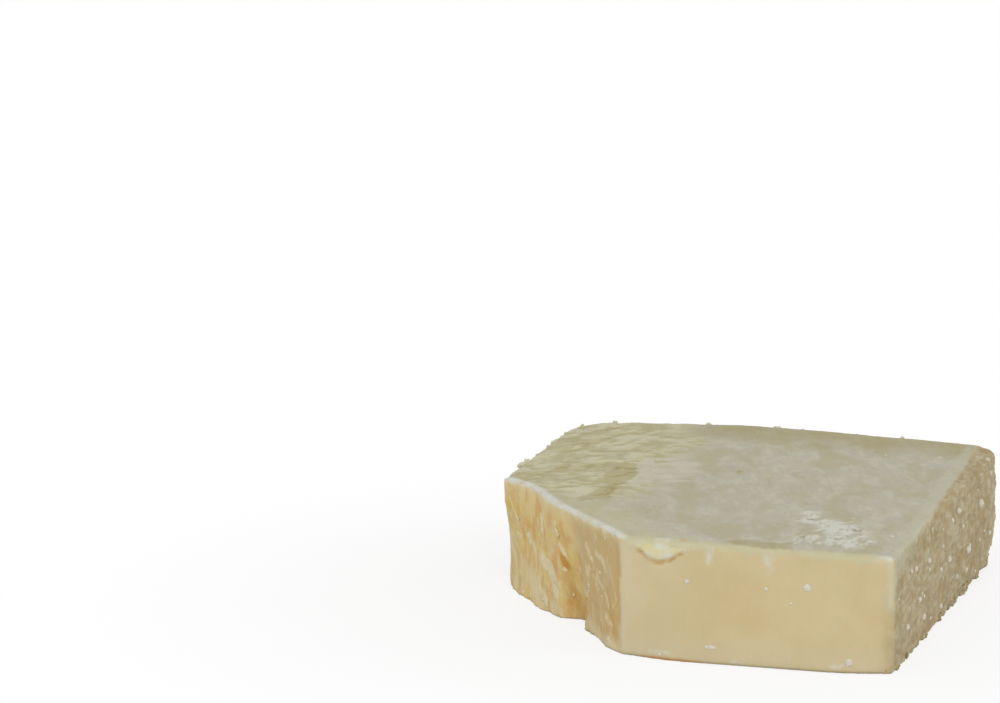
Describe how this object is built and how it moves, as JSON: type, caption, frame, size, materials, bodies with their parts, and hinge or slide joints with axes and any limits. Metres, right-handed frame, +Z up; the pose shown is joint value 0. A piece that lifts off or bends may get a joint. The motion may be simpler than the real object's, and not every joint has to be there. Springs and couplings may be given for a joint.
{
  "type": "cheddar block",
  "caption": "Flat square block of mature cheddar with a pillowed top skin, smooth cut sides, rounded moulded corners and one corner broken away.",
  "frame": {"origin": "centre of the bounding box in plan, on the underside", "axes": "+X to the right along the cut front face, +Y from the front face to the back, +Z up through the thickness"},
  "size_m": [0.1066, 0.1156, 0.0301],
  "materials": {
    "cheese": "satin, waxy"
  },
  "bodies": {
    "root": {"cheddar_block": "cheese"}
  },
  "joints": []
}
